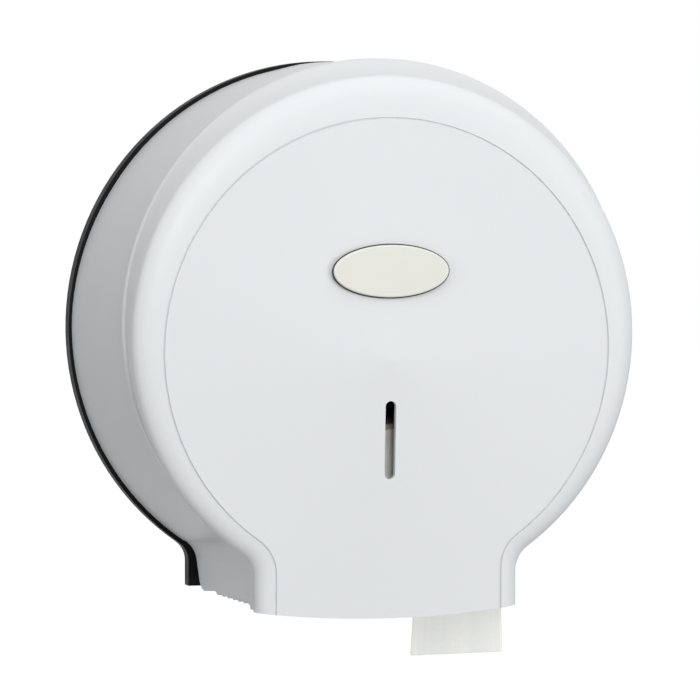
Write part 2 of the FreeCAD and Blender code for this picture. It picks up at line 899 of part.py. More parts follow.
def lug_places(reach):
    """Centres on a circle about the middle of the cover, one for each fixing lug."""
    places = []
    for angle in LUG_ANGLES:
        turn = math.radians(angle)
        places.append((angle, reach * math.cos(turn), size.band_front_rise + reach * math.sin(turn)))
    return places


def cover_lugs(body, front):
    """Lugs round the inside of the front edge, for the screws that hold the front moulding."""
    half = size.lug_width / 2
    inner = size.lug_circle - half
    outer = size.band_front_radius - size.cover_wall / 2
    depth = front - size.lug_thick
    for angle in LUG_ANGLES:
        across = math.radians(angle)
        along = (math.cos(across), math.sin(across))
        corners = []
        for reach, side in ((inner, -1), (outer, -1), (outer, 1), (inner, 1)):
            x = reach * along[0] - half * (side * along[1])
            z = size.band_front_rise + reach * along[1] + half * (side * along[0])
            corners.append((x, z))
        lug = outline(body, f"cover_lug_{angle}", "XZ_Plane", depth, corners)
        pad(body, lug, size.lug_thick, f"cover_lug_pad_{angle}")
    clear = size.cover_screw_shank + size.running_fit
    rounds = [(x, z, clear) for angle, x, z in lug_places(size.lug_circle)]
    holes = circles(body, "cover_lug_holes", "XZ_Plane", depth, rounds)
    pocket(body, holes, size.lug_thick, "cover_lug_hole_pocket")


def lock_seat(body):
    """A boss inside the top of the band with a sunk seat for the lock."""
    y = -size.lock_depth
    foot = size.lock_boss_foot
    boss = circles(body, "lock_boss", "XY_Plane", foot, [(ZERO, y, size.lock_boss_radius)])
    pad(body, boss, size.lock_boss_length, "lock_boss_pad")
    seat = size.lock_face - size.lock_flange_thick
    clear = size.lock_flange_radius + size.seat_gap
    sink = circles(body, "lock_sink", "XY_Plane", seat, [(ZERO, y, clear)])
    pocket(body, sink, size.overrun, "lock_sink_pocket")
    bore = size.lock_barrel_radius + size.running_fit
    hole = circles(body, "lock_hole", "XY_Plane", foot, [(ZERO, y, bore)])
    pocket(body, hole, size.overrun, "lock_hole_pocket")


# Steps along the bezel: as shares of its swell from the lip to the bulge, and of the quarter turn from there
# to the panel.
SWELL_SHARES = (0.0, 0.5)
ROLL_SHARES = (0.0, 0.2, 0.4, 0.6, 0.8, 1.0)


def between(first, last, share):
    return [a + (b - a) * share for a, b in zip(first, last)]


def bezel_sections(body, name, outlines, depths, below):
    """Outlines that swell from the lip to the bulge and then roll over to the panel."""
    start, bulge, end = outlines
    steps = []
    for share in SWELL_SHARES:
        depth = depths[0] + (depths[1] - depths[0]) * share
        steps.append((depth, between(start, bulge, math.sin(share * math.pi / 2))))
    for share in ROLL_SHARES:
        turn = share * math.pi / 2
        depth = depths[1] + (depths[2] - depths[1]) * math.sin(turn)
        steps.append((depth, between(bulge, end, 1 - math.cos(turn))))
    sections = []
    for index, (depth, ring) in enumerate(steps):
        sections.append(keyhole(body, f"{name}_{index}", depth, *ring, below))
    return sections


def bulge_outline():
    """The widest outline of the bezel: it hangs lower than the lip and is wider at the neck."""
    return (
        size.band_front_radius - size.bulge_in,
        -size.bulge_drop,
        size.band_front_neck + size.bulge_neck_out,
        size.bulge_fillet,
    )


def panel_outline(grow):
    return (
        size.panel_radius + grow,
        -size.panel_drop,
        size.panel_neck + grow,
        size.panel_fillet - grow,
    )


def front_cover():
    """The front moulding: a lip, a rolled bezel, a fine line and a gently domed panel."""
    body = new_body("front_shell")
    below = size.cover_bottom + size.overrun
    lip = size.lip_depth
    start_depth = lip + size.lip_width
    bulge_depth = lip + size.bulge_lead
    wall = size.front_wall
    rim = keyhole(body, "lip_outline", lip, *inset(front_outline(), -size.lip_proud), below)
    pad(body, rim, size.lip_width, "lip_pad")
    outlines = (front_outline(), bulge_outline(), panel_outline(size.line_half))
    skin = bezel_sections(body, "bezel", outlines, (start_depth, bulge_depth, size.panel_depth), below)
    loft(body, "AdditiveLoft", skin, "bezel_loft", ruled=True)
    dome_panel(body, below)
    mouth = keyhole(body, "mouth", lip, *inset(front_outline(), wall), below + size.overrun)
    pocket(body, mouth, size.lip_width, "mouth_pocket")
    vault_depth = size.panel_depth - size.cover_wall
    outlines = (inset(front_outline(), wall), inset(bulge_outline(), wall), panel_outline(ZERO))
    depths = (start_depth, bulge_depth - wall / 2, vault_depth)
    hollow = bezel_sections(body, "hollow", outlines, depths, below + size.overrun)
    loft(body, "SubtractiveLoft", hollow, "hollow_loft", ruled=True)
    vault(body, vault_depth)
    cover_bosses(body, lip)
    slot(body, lip)
    bow(body, lip, below)
    badge_recess(body)


def dome_panel(body, below):
    """Raises the panel inside the fine line and rounds its face to a shallow dome."""
    base = size.panel_depth - size.line_sink
    radius, rise, neck, fillet = panel_outline(-size.line_half)
    sink = keyhole(body, "line_sink", base, *panel_outline(size.line_half), below + size.overrun)
    pocket(body, sink, size.overrun, "line_pocket")
    face = keyhole(body, "panel_face", base, radius, rise, neck, fillet, below)
    crown = size.panel_depth + size.dome_rise
    pad(body, face, crown + size.line_half - base, "panel_pad")
    rim = crown - size.dome_rise
    reach = size.dome_reach
    sag = size.dome_rise
    sphere = (reach * reach + sag * sag) / (sag * 2)
    outside = size.plate_radius + size.overrun
    front = crown + size.overrun
    centre = -size.dome_drop
    corners = [
        (-crown, ZERO),
        (-rim, reach),
        (-rim, outside),
        (-front, outside),
        (-front, ZERO),
    ]
    turned_cut(body, "dome_cut", corners, {0: (sphere, 1, False)}, centre)


def turned_cut(body, name, corners, arcs, centre):
    """Turns a profile about the axis of the dome, which runs along Y at the height centre, and cuts it."""
    before = body.Shape.Volume
    sketch = outline(body, name, "YZ_Plane", ZERO, corners, arcs)
    bind(sketch, "AttachmentOffset.Base.y", centre)
    feature = body.newObject("PartDesign::Groove", f"{name}_groove")
    feature.Profile = sketch
    feature.ReferenceAxis = (sketch, ["H_Axis"])
    feature.Angle = 360
    document.recompute()
    if not body.Shape.Volume < before:
        raise RuntimeError(f"{name} cuts nothing")


def vault(body, vault_depth):
    """Hollows the back of the dome so that the panel keeps an even wall."""
    crown = size.panel_depth + size.dome_rise - size.cover_wall
    reach = size.vault_reach
    sag = crown - vault_depth
    sphere = (reach * reach + sag * sag) / (sag * 2)
    back = vault_depth - size.line_half
    corners = [
        (-crown, ZERO),
        (-back, ZERO),
        (-back, reach),
        (-vault_depth, reach),
    ]
    turned_cut(body, "vault_cut", corners, {3: (sphere, -1, False)}, -size.dome_drop)


def cover_bosses(body, depth):
    rounds = [(x, z, size.boss_radius) for angle, x, z in lug_places(size.lug_circle)]
    posts = circles(body, "cover_bosses", "XZ_Plane", depth, rounds)
    pad(body, posts, size.panel_depth - size.boss_skin - depth, "cover_boss_pad")
    rounds = [(x, z, size.cover_screw_shank) for angle, x, z in lug_places(size.lug_circle)]
    bores = circles(body, "cover_boss_bores", "XZ_Plane", depth, rounds)
    pocket(body, bores, size.cover_screw_grip + size.lug_thick, "cover_boss_bore_pocket")


def slot(body, lip):
    """The sight slot below the middle of the panel, with round ends."""
    half = size.slot_half
    top = -(size.slot_top_drop + half)
    bottom = -(size.slot_bottom_drop - half)
    corners = [(half, bottom), (half, top), (-half, top), (-half, bottom)]
    ends = {1: (None, 1, False), 3: (None, 1, False)}
    sketch = outline(body, "sight_slot", "XZ_Plane", lip, corners, ends)
    pocket(body, sketch, size.panel_depth, "sight_slot_pocket")


def bow(body, lip, below):
    """Cuts the foot of the front moulding to a shallow bow that hangs lowest in the middle."""
    half = size.bow_half
    sag = size.bow_sag
    level = -size.cover_bottom
    out = half + size.overrun
    deep = -(below + size.overrun * 2)
    radius = (half * half + sag * sag) / (sag * 2)
    corners = [(-out, level), (-half, level), (half, level), (out, level), (out, deep), (-out, deep)]
    foot = outline(body, "bow", "XZ_Plane", lip - size.overrun, corners, {1: (radius, 1, False)})
    pocket(body, foot, size.panel_depth, "bow_pocket")


def oval(name, half_width, half_height, thick, depth, rise):
    curve = document.addObject("Part::Ellipse", f"{name}_curve")
    bind(curve, "MajorRadius", half_width)
    bind(curve, "MinorRadius", half_height)
    place(curve, ZERO, -depth, rise, TO_FRONT)
    solid = document.addObject("Part::Extrusion", name)
    solid.Base = curve
    solid.DirMode = "Custom"
    solid.Dir = FreeCAD.Vector(0, -1, 0)
    solid.Solid = True
    bind(solid, "LengthFwd", thick)
    return solid


def badge_recess(body):
    rim = size.badge_rim + size.seat_gap / 2
    tool = oval(
        "badge_recess",
        size.badge_half_width + rim,
        size.badge_half_height + rim,
        size.overrun,
        size.badge_floor,
        size.badge_rise,
    )
    finish(cut("front_cover", body, tool))


def badge():
    """A bare oval plate in a shallow recess, on a dark pad that shows as a thin line round it."""
    rim = size.badge_rim
    finish(
        oval(
            "badge_pad",
            size.badge_half_width + rim,
            size.badge_half_height + rim,
            size.badge_pad_thick,
            size.badge_floor,
            size.badge_rise,
        )
    )
    plate = oval(
        "badge_blank",
        size.badge_half_width,
        size.badge_half_height,
        size.badge_thick,
        size.badge_floor + size.badge_pad_thick,
        size.badge_rise,
    )
    document.recompute()
    front = -(size.badge_floor + size.badge_pad_thick + size.badge_thick).number
    edges = []
    near = size.running_fit.number
    for index, edge in enumerate(plate.Shape.Edges, start=1):
        if edge.BoundBox.YMax < front + near:
            edges.append((index, size.badge_round.number, size.badge_round.number))
    rounded = document.addObject("Part::Fillet", "badge_plate")
    rounded.Base = plate
    rounded.Edges = edges
    finish(rounded)


def cover_screws():
    """Screws from behind that hold the side band to the front moulding."""
    under = band_front() - size.lug_thick
    head = size.cover_screw_head
    tall = size.screw_head_height
    length = size.cover_screw_grip + size.lug_thick
    shank = size.cover_screw_shank - size.running_fit / 2
    screws = []
    for angle, x, z in lug_places(size.lug_circle):
        stem = cylinder(f"cover_stem_{angle}", shank, length, x, -under, z, TO_FRONT)
        cap = cylinder(f"cover_cap_{angle}", head, tall, x, -(under - tall), z, TO_FRONT)
        screws.append(fuse(f"cover_screw_{angle}", [stem, cap]))
    finish(fuse("cover_screws", screws))


def lock_fixed():
    """The barrel of the lock, held in the top of the band by a nut."""
    y = -size.lock_depth
    seat = size.lock_face - size.lock_flange_thick
    foot = size.lock_barrel_foot
    thick = size.lock_flange_thick
    flange = cylinder("housing_flange", size.lock_flange_radius, thick, ZERO, y, seat, UPWARD)
    barrel = cylinder("housing_barrel", size.lock_barrel_radius, seat - foot, ZERO, y, foot, UPWARD)
    bore = size.lock_plug_radius + size.running_fit
    hole = cylinder("housing_bore", bore, size.lock_face - foot, ZERO, y, foot, UPWARD)
    finish(cut("lock_housing", fuse("housing_solid", [flange, barrel]), hole))
    nut_foot = size.lock_boss_foot - size.lock_nut_thick
    prism = document.addObject("Part::Prism", "nut_prism")
    prism.Polygon = 6
    bind(prism, "Circumradius", size.lock_nut_radius)
    bind(prism, "Height", size.lock_nut_thick)
    place(prism, ZERO, y, nut_foot)
    clear = size.lock_barrel_radius + size.running_fit
    nut_hole = cylinder("nut_hole", clear, size.lock_nut_thick, ZERO, y, nut_foot, UPWARD)
    finish(cut("lock_nut", prism, nut_hole))


def sector(name, radius, angle, start, thick, x, y, z):
    """A slice of a disc that starts at an angle from +X."""
    thing = document.addObject("Part::Cylinder", name)
    bind(thing, "Radius", radius)
    bind(thing, "Height", thick)
    bind(thing, "Angle", angle)
    return place(thing, x, y, z, FreeCAD.Rotation(FreeCAD.Vector(0, 0, 1), start))


def lock_turning():
    """The key plug and the hooked cam at its foot, drawn unlocked, with the hook out to the right."""
    y = -size.lock_depth
    foot = size.cam_foot + size.cam_thick
    plug = cylinder("plug_round", size.lock_plug_radius, size.lock_face - foot, ZERO, y, foot, UPWARD)
    wide = size.lock_plug_radius
    half = size.key_slot_half
    deep = size.lock_flange_thick * 2
    key = box("key_slot", wide, half * 2, deep, -(wide / 2), y - half, size.lock_face - deep)
    finish(cut("lock_plug", plug, key))
    thick = size.cam_thick
    base = size.cam_foot
    span = size.cam_finger_angle.number
    lead = -span / 2
    disc = cylinder("cam_disc", size.cam_hub_radius, thick, ZERO, y, base, UPWARD)
    hook = sector("cam_hook_solid", size.cam_finger_outer, size.cam_finger_angle, lead, thick, ZERO, y, base)
    hollow = cylinder("cam_hook_hollow", size.cam_finger_inner, thick, ZERO, y, base, UPWARD)
    finger = cut("cam_hook", hook, hollow)
    tail = lead - size.cam_arm_angle.number
    arm = sector("cam_arm", size.cam_finger_outer, size.cam_arm_angle, tail, thick, ZERO, y, base)
    hole = cylinder("cam_hole", size.screw_shank + size.running_fit, thick, ZERO, y, base, UPWARD)
    finish(cut("latch_cam", fuse("cam_solid", [disc, finger, arm]), hole))
    head_foot = base - size.cam_screw_thick
    head = cylinder("cam_screw_cap", size.cam_screw_head, size.cam_screw_thick, ZERO, y, head_foot, UPWARD)
    stem = cylinder("cam_screw_stem", size.screw_shank, thick, ZERO, y, base, UPWARD)
    finish(fuse("cam_screw", [head, stem]))


def latch_keeper():
    """The bracket inside the top of the back plate whose post the cam hooks round."""
    face = size.plate_edge
    half = size.keeper_half_width
    thick = size.keeper_flange_thick
    bottom = size.keeper_flange_bottom
    top = size.keeper_shelf_top
    flange = box("keeper_flange", half * 2, thick, top - bottom, -half, -(face + thick), bottom)
    shelf_half = size.keeper_shelf_half
    reach = size.keeper_shelf_reach
    shelf = box(
        "keeper_shelf",
        shelf_half * 2,
        reach - face,
        size.keeper_shelf_thick,
        -shelf_half,
        -reach,
        top - size.keeper_shelf_thick,
    )
    rise = size.keeper_post_top - top
    radius = size.keeper_post_radius
    depth = size.lock_depth - (size.cam_finger_inner - size.keeper_post_gap - radius)
    post = cylinder("keeper_post", radius, rise, ZERO, -depth, top, UPWARD)
    tools = []
    screws = []
    head = size.screw_head
    tall = size.screw_head_height
    grip = thick + size.screw_grip
    for index, (x, z, shank) in enumerate(keeper_screw_places(size.screw_shank)):
        clear = shank + size.running_fit
        tools.append(cylinder(f"keeper_hole_{index}", clear, thick, x, -face, z, TO_FRONT))
        stem = shank - size.running_fit / 2
        screws.append(screw(f"keeper_screw_{index}", stem, head, tall, grip, x, z, face + thick))
    solid = fuse("keeper_solid", [flange, shelf, post])
    finish(cut("latch_keeper", solid, fuse("keeper_holes", tools)))
    finish(fuse("keeper_screws", screws))


def write_parts():
    document.recompute()
    for thing in document.Objects:
        if "Invalid" in thing.State or "Error" in thing.State:
            raise RuntimeError(f"{thing.Name} failed: {thing.State}")
    os.makedirs("parts", exist_ok=True)
    for thing in finished:
        shape = thing.Shape
        if shape.isNull() or not shape.isValid():
            raise RuntimeError(f"{thing.Label} has no valid shape")
        shape.exportStep(f"parts/{thing.Label}.step")
        print(f"{thing.Label}: {len(shape.Solids)} solids, {shape.Volume:.0f} mm3")


back_plate()
hinge_pins()
spindle_post()
spindle_screws()
hub_sleeve()
hub_retainer()
roll()
paper_tail()
side_band()
front_cover()
badge()
cover_screws()
lock_fixed()
lock_turning()
latch_keeper()
write_parts()
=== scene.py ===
import math
import random

import bpy
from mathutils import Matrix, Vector


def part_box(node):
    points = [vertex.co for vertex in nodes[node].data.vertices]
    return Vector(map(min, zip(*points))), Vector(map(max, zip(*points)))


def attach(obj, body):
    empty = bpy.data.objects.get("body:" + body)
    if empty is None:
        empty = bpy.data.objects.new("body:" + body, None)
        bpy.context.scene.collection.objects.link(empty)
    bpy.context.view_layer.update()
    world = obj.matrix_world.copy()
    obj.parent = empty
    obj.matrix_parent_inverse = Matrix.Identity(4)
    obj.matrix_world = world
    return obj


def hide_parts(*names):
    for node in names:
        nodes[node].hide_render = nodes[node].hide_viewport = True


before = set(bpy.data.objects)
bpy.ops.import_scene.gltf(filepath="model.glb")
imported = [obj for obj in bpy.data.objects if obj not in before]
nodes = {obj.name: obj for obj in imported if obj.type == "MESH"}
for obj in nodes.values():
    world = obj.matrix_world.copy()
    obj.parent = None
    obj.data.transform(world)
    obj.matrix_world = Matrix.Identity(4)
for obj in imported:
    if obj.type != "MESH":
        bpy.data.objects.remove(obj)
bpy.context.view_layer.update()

bpy.ops.object.select_all(action="DESELECT")


# CAMERA
# A long lens, a little to the left of the dispenser and slightly above its middle, as for a catalogue
# picture. It stands well back, so that the round cover keeps its shape.
camera_place = Vector((-0.67317, -2.36445, 0.12651))
camera_aim = Vector((-0.002913, -0.064, -0.010216))
bpy.ops.object.camera_add(location=camera_place)
camera = bpy.context.object
camera.rotation_euler = (camera_aim - camera_place).to_track_quat("-Z", "Y").to_euler()
camera.data.sensor_width = 36
camera.data.lens = 240.67
camera.data.clip_start = 0.1
camera.data.clip_end = 60
bpy.context.scene.camera = camera
bpy.context.scene.view_settings.view_transform = "Standard"


# FLOOR
# The dispenser hangs on a wall, so the pale floor lies well below it. It keeps the soft shadow that falls
# on it, and adds a plain white glow for the eye alone.
def new_finish(name):
    """A new material, the tree of its nodes and the shader in it."""
    finish = bpy.data.materials.new(name)
    finish.use_nodes = True
    return finish, finish.node_tree, finish.node_tree.nodes["Principled BSDF"]


def feed(tree, socket, value):
    """Sets what goes into a socket: a number, a colour, or what comes out of another node."""
    if isinstance(value, float):
        socket.default_value = value
    elif isinstance(value, tuple):
        socket.default_value = (*value, 1)
    else:
        tree.links.new(value, socket)


def work_out(tree, operation, *values):
    """One sum in a material, of numbers or of what comes out of other nodes."""
    node = tree.nodes.new("ShaderNodeMath")
    node.operation = operation
    for at, value in enumerate(values):
        feed(tree, node.inputs[at], value)
    return node.outputs[0]


def for_the_eye(tree, lit, shown):
    """A surface that is as shown to the camera, in gloss and through paper, and as lit to other light."""
    path = tree.nodes.new("ShaderNodeLightPath")
    seen = work_out(tree, "MAXIMUM", path.outputs["Is Camera Ray"], path.outputs["Is Glossy Ray"])
    seen_through = work_out(tree, "MAXIMUM", seen, path.outputs["Is Transmission Ray"])
    choose = tree.nodes.new("ShaderNodeMixShader")
    tree.links.new(seen_through, choose.inputs[0])
    tree.links.new(lit.outputs[0], choose.inputs[1])
    tree.links.new(shown.outputs[0], choose.inputs[2])
    return choose


floor_drop = 1.25
bpy.ops.mesh.primitive_plane_add(size=40, location=(0, 0, -floor_drop))
floor = bpy.context.object
floor.name = "floor"
pale_floor, tree, shader = new_finish("pale_floor")
shader.inputs["Base Color"].default_value = (0.6, 0.6, 0.6, 1)
shader.inputs["Roughness"].default_value = 0.9
shader.inputs["Specular IOR Level"].default_value = 0.1
glow = tree.nodes.new("ShaderNodeEmission")
glow.inputs["Color"].default_value = (1, 1, 1, 1)
glow.inputs["Strength"].default_value = 0.98
glowing = tree.nodes.new("ShaderNodeAddShader")
tree.links.new(shader.outputs[0], glowing.inputs[0])
tree.links.new(glow.outputs[0], glowing.inputs[1])
chosen = for_the_eye(tree, shader, glowing)
tree.links.new(chosen.outputs[0], tree.nodes["Material Output"].inputs["Surface"])
floor.data.materials.append(pale_floor)


# ROOM AND LAMPS
# A white room that is dim to everything but the eye. Soft boxes over, before and beside the dispenser
# bring out its rounds, and stay soft in the gloss of the cover.
world = bpy.data.worlds.new("room")
bpy.context.scene.world = world
world.use_nodes = True
tree = world.node_tree
dim = tree.nodes["Background"]
dim.inputs["Color"].default_value = (1, 1, 1, 1)
dim.inputs["Strength"].default_value = 0.05
white = tree.nodes.new("ShaderNodeBackground")
white.inputs["Color"].default_value = (1, 1, 1, 1)
white.inputs["Strength"].default_value = 1.0
chosen = for_the_eye(tree, dim, white)
tree.links.new(chosen.outputs[0], tree.nodes["World Output"].inputs["Surface"])

# Each soft box: its name, place, width, height and power. All point at the middle of the dispenser.
lamp_aim = Vector((0, -0.06, 0))
SOFT_BOXES = [
    ("box_over", (0.25, -0.9, 1.5), 2.0, 1.6, 17.2),
    ("box_front", (-0.35, -2.6, 0.7), 0.6, 0.6, 22.5),
    ("box_right", (1.6, -1.9, 0.1), 0.9, 1.2, 18.3),
    ("box_left", (-1.9, -0.9, 0.7), 1.3, 1.4, 13.6),
]
for name, place, width, height, power in SOFT_BOXES:
    bpy.ops.object.light_add(type="AREA", location=place)
    lamp = bpy.context.object
    lamp.name = name
    lamp.rotation_euler = (lamp_aim - Vector(place)).to_track_quat("-Z", "Y").to_euler()
    lamp.data.shape = "RECTANGLE"
    lamp.data.size = width
    lamp.data.size_y = height
    lamp.data.energy = power
    lamp.visible_camera = False


# BACK PLATE
# Black ABS tray, injection moulded with a fine spark-eroded skin that gives it a satin look. It is screwed
# to the wall by four sunk screws and carries the spindle, the latch bracket and the hinge lugs.
def mottle(tree, place, specks, detail, rough=0.5):
    """An uneven pattern with about this many specks to one unit of place, and finer ones in them."""
    noise = tree.nodes.new("ShaderNodeTexNoise")
    tree.links.new(place, noise.inputs["Vector"])
    feed(tree, noise.inputs["Scale"], specks)
    feed(tree, noise.inputs["Detail"], detail)
    feed(tree, noise.inputs["Roughness"], rough)
    return noise.outputs["Fac"]


def spread(tree, value, span, onto=(0.0, 1.0)):
    """Takes a value from one span onto another, and stops at its ends."""
    node = tree.nodes.new("ShaderNodeMapRange")
    tree.links.new(value, node.inputs["Value"])
    for name, limit in zip(("From Min", "From Max", "To Min", "To Max"), (*span, *onto)):
        node.inputs[name].default_value = limit
    return node.outputs["Result"]


def blend(tree, share, first, second):
    """The colour between two colours, or between what comes out of other nodes."""
    node = tree.nodes.new("ShaderNodeMix")
    node.data_type = "RGBA"
    tree.links.new(share, node.inputs["Factor"])
    feed(tree, node.inputs["A"], first)
    feed(tree, node.inputs["B"], second)
    return node.outputs["Result"]


def relief(tree, height, depth):
    """The slopes of a skin that has this pattern as its height, with this depth in metres."""
    node = tree.nodes.new("ShaderNodeBump")
    node.inputs["Distance"].default_value = depth
    tree.links.new(height, node.inputs["Height"])
    return node.outputs["Normal"]


def skin_group():
    """Shader group for moulded parts: fine grain of the mould, broad cloudiness and haze from handling."""
    group = bpy.data.node_groups.new("mould_skin", "ShaderNodeTree")
    sockets = group.interface
    sockets.new_socket("Grain per metre", in_out="INPUT", socket_type="NodeSocketFloat")
    for name in ("Grain", "Cloud", "Haze"):
        sockets.new_socket(name, in_out="OUTPUT", socket_type="NodeSocketFloat")
    inputs = group.nodes.new("NodeGroupInput")
    outputs = group.nodes.new("NodeGroupOutput")
    place = group.nodes.new("ShaderNodeTexCoord").outputs["Object"]
    grain = mottle(group, place, inputs.outputs["Grain per metre"], 3.0)
    cloud = mottle(group, place, 11.0, 2.0)
    haze = mottle(group, place, 85.0, 5.0, rough=0.6)
    group.links.new(grain, outputs.inputs["Grain"])
    group.links.new(cloud, outputs.inputs["Cloud"])
    group.links.new(haze, outputs.inputs["Haze"])
    return group


mould_skin = skin_group()


def moulded(name, colour, cloudy, gloss, shine, grain, depth):
    """A moulded plastic: two colours, roughness range, specular level, grain per metre and its depth."""
    material, tree, shader = new_finish(name)
    skin = tree.nodes.new("ShaderNodeGroup")
    skin.node_tree = mould_skin
    skin.inputs["Grain per metre"].default_value = grain
    feed(tree, shader.inputs["Base Color"], blend(tree, skin.outputs["Cloud"], colour, cloudy))
    feed(tree, shader.inputs["Roughness"], spread(tree, skin.outputs["Haze"], (0.3, 0.7), gloss))
    feed(tree, shader.inputs["Specular IOR Level"], shine)
    feed(tree, shader.inputs["Normal"], relief(tree, skin.outputs["Grain"], depth))
    return material


def dress(names, material):
    """Gives every material slot of these CAD pieces this finish."""
    for name in names:
        data = nodes[name].data
        if not data.materials:
            data.materials.append(material)
        for at in range(len(data.materials)):
            data.materials[at] = material


black_abs = moulded(
    "black_abs", (0.006, 0.006, 0.0065), (0.009, 0.009, 0.01),
    gloss=(0.45, 0.55), shine=0.08, grain=1900.0, depth=0.000035,
)
dress(["back_plate"], black_abs)


# SPINDLE AND HUB
# Dark grey nylon post on a screwed flange, and the finned sleeve that turns on it and grips the paper
# core. Both are moulded a little duller than the cover, because they rub.
grey_nylon = moulded(
    "grey_nylon", (0.05, 0.05, 0.054), (0.066, 0.066, 0.07),
    gloss=(0.42, 0.55), shine=0.5, grain=1500.0, depth=0.00003,
)
dress(["spindle_post", "hub_sleeve"], grey_nylon)


# SCREWS, PINS AND LATCH BRACKET
# Screws, a washer and the pressed latch bracket are steel with zinc plating, which has faint brushed
# streaks and dull blotches. The two pins of the cover hinge are turned from brighter steel.
def stretched(tree, place, scale):
    """The same places scaled, so that a pattern on them is drawn out where the scale is small."""
    node = tree.nodes.new("ShaderNodeMapping")
    node.inputs["Scale"].default_value = scale
    tree.links.new(place, node.inputs["Vector"])
    return node.outputs["Vector"]


def plated(name, colour, dull, gloss, streaks):
    """Plated or polished metal: its colour and a duller one, the roughness range and streaks per metre."""
    material, tree, shader = new_finish(name)
    place = tree.nodes.new("ShaderNodeTexCoord").outputs["Object"]
    brush = mottle(tree, stretched(tree, place, (1.0, 1.0, 0.08)), streaks, 4.0)
    blotch = mottle(tree, place, 190.0, 3.0)
    feed(tree, shader.inputs["Base Color"], blend(tree, blotch, colour, dull))
    feed(tree, shader.inputs["Metallic"], 1.0)
    feed(tree, shader.inputs["Roughness"], spread(tree, brush, (0.0, 1.0), gloss))
    feed(tree, shader.inputs["Normal"], relief(tree, brush, 0.00001))
    return material


zinc_plate = plated(
    "zinc_plate", (0.58, 0.58, 0.56), (0.45, 0.46, 0.47), gloss=(0.24, 0.42), streaks=2600.0,
)
dress(["spindle_screws", "hub_washer", "hub_screw"], zinc_plate)
dress(["latch_keeper", "keeper_screws", "cover_screws"], zinc_plate)
turned_steel = plated(
    "turned_steel", (0.62, 0.62, 0.63), (0.52, 0.52, 0.54), gloss=(0.16, 0.3), streaks=3800.0,
)
dress(["hinge_pin_left", "hinge_pin_right"], turned_steel)


# PAPER CORE
# Grey-brown board wound from strips on a slant, so a seam runs round it as a long screw line. Its cut ends
# are rough and its fibres show as specks.
def turn_about(tree, place, axis_height):
    """Seen from a level axis at this height: a place along and across it, and its angle round it."""
    centred = tree.nodes.new("ShaderNodeMapping")
    centred.inputs["Location"].default_value = (0, 0, -axis_height)
    tree.links.new(place, centred.inputs["Vector"])
    parts = tree.nodes.new("ShaderNodeSeparateXYZ")
    tree.links.new(centred.outputs["Vector"], parts.inputs["Vector"])
    return parts, work_out(tree, "ARCTAN2", parts.outputs["X"], parts.outputs["Z"])


def two_shades(tree, share, dark_at, dark, light_at, light):
    """The colour as the share rises: one shade up to the first value and another from the second."""
    node = tree.nodes.new("ShaderNodeValToRGB")
    low, high = node.color_ramp.elements
    low.position = dark_at
    low.color = (*dark, 1)
    high.position = light_at
    high.color = (*light, 1)
    tree.links.new(share, node.inputs["Fac"])
    return node.outputs["Color"]


core_axis_height = -0.0077
strips_per_metre = 13.0
seam_share = 0.025
core_board, tree, shader = new_finish("core_board")
place = tree.nodes.new("ShaderNodeTexCoord").outputs["Object"]
parts, turn = turn_about(tree, place, core_axis_height)
turns = work_out(tree, "DIVIDE", turn, 2 * math.pi)
strips = work_out(tree, "MULTIPLY_ADD", parts.outputs["Y"], strips_per_metre, turns)
seam = spread(tree, work_out(tree, "PINGPONG", strips, 0.5), (0.0, seam_share))
fibre = mottle(tree, place, 900.0, 6.0)
board = two_shades(tree, fibre, 0.36, (0.36, 0.29, 0.21), 0.62, (0.56, 0.47, 0.36))
feed(tree, shader.inputs["Base Color"], blend(tree, seam, (0.22, 0.17, 0.12), board))
feed(tree, shader.inputs["Roughness"], 0.85)
feed(tree, shader.inputs["Specular IOR Level"], 0.2)
feed(tree, shader.inputs["Normal"], relief(tree, fibre, 0.00015))
dress(["roll_core"], core_board)


# PAPER ROLL
# Two-ply tissue wound tightly on the core. Its ends show the edges of the turns, a few of which stand
# proud, and its outer turns lie a little loose. It goes onto the hub from the front, with its core.
roll_low, roll_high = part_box("paper_roll")
roll_axis_z = (roll_low.z + roll_high.z) / 2
roll_radius = (roll_high.x - roll_low.x) / 2
bore_radius = 0.04062
roll_face = roll_low.y
roll_back = roll_high.y
bore_edge_sunk = 0.0004
face_uneven = 0.00045
face_margin = 0.0006
rim_sunk = 0.0007
rim_inset = 0.0001
wall_uneven = 0.00012
smooth_below = math.radians(50)
FACE_TURNS = 26
WALL_STEPS = 10
STEPS_ROUND = 160
dice = random.Random(7)


def ring_out(radius, y):
    """Extrudes the selected ring and sets the new one to this radius and depth."""
    bpy.ops.mesh.extrude_edges_move()
    mesh = bpy.context.object.data
    bpy.ops.object.mode_set(mode="OBJECT")
    for vertex in mesh.vertices:
        if vertex.select:
            arm = Vector((vertex.co.x, 0, vertex.co.z)).normalized() * radius
            vertex.co = (arm.x, y, arm.z)
    bpy.ops.object.mode_set(mode="EDIT")


